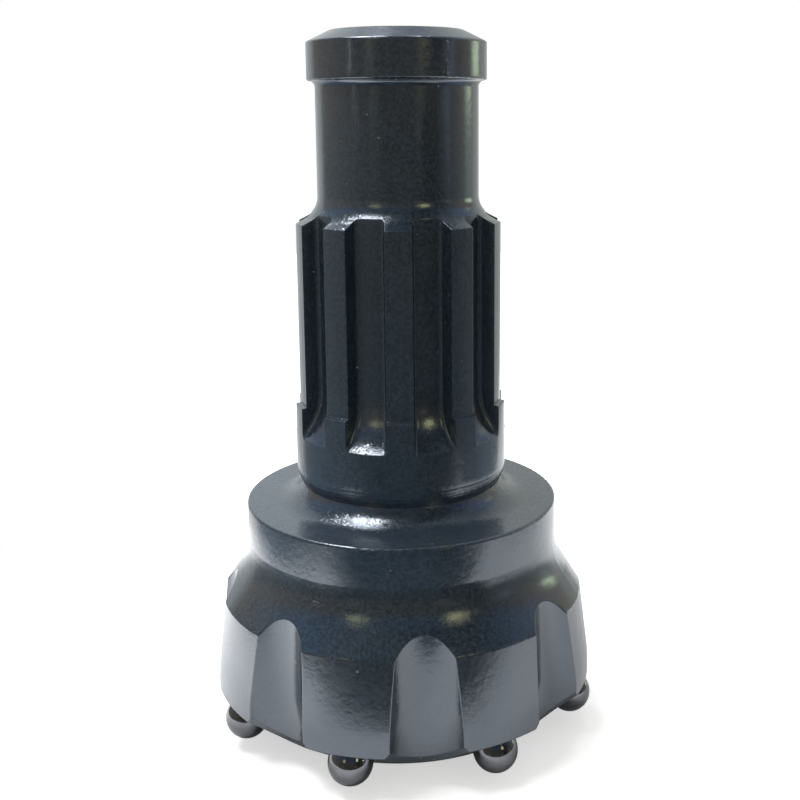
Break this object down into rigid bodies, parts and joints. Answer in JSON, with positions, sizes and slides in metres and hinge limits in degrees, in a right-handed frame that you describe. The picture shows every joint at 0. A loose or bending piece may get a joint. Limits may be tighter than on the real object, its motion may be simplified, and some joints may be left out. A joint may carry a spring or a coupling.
{
  "type": "down-the-hole button bit",
  "caption": "Percussion drill bit with a splined shank, a collar, a fluted flared head and domed carbide buttons.",
  "frame": {"origin": "on the bit's axis, at the level of the face buttons' tips, on which the bit stands head down", "axes": "+Z along the axis, from the cutting face towards the strike face; +X through the middle of a head land and its gauge button"},
  "size_m": [0.1552, 0.1552, 0.2729],
  "materials": {
    "black_enamel": "gloss",
    "carbide": "polished"
  },
  "bodies": {
    "root": {"bit_body": "black_enamel", "gauge_button_01": "carbide", "gauge_button_02": "carbide", "gauge_button_03": "carbide", "gauge_button_04": "carbide", "gauge_button_05": "carbide", "gauge_button_06": "carbide", "gauge_button_07": "carbide", "gauge_button_08": "carbide", "face_button_01": "carbide", "face_button_02": "carbide", "face_button_03": "carbide", "face_button_04": "carbide", "face_button_05": "carbide", "face_button_06": "carbide", "face_button_07": "carbide", "face_button_08": "carbide", "face_button_09": "carbide", "face_button_10": "carbide"}
  },
  "joints": []
}
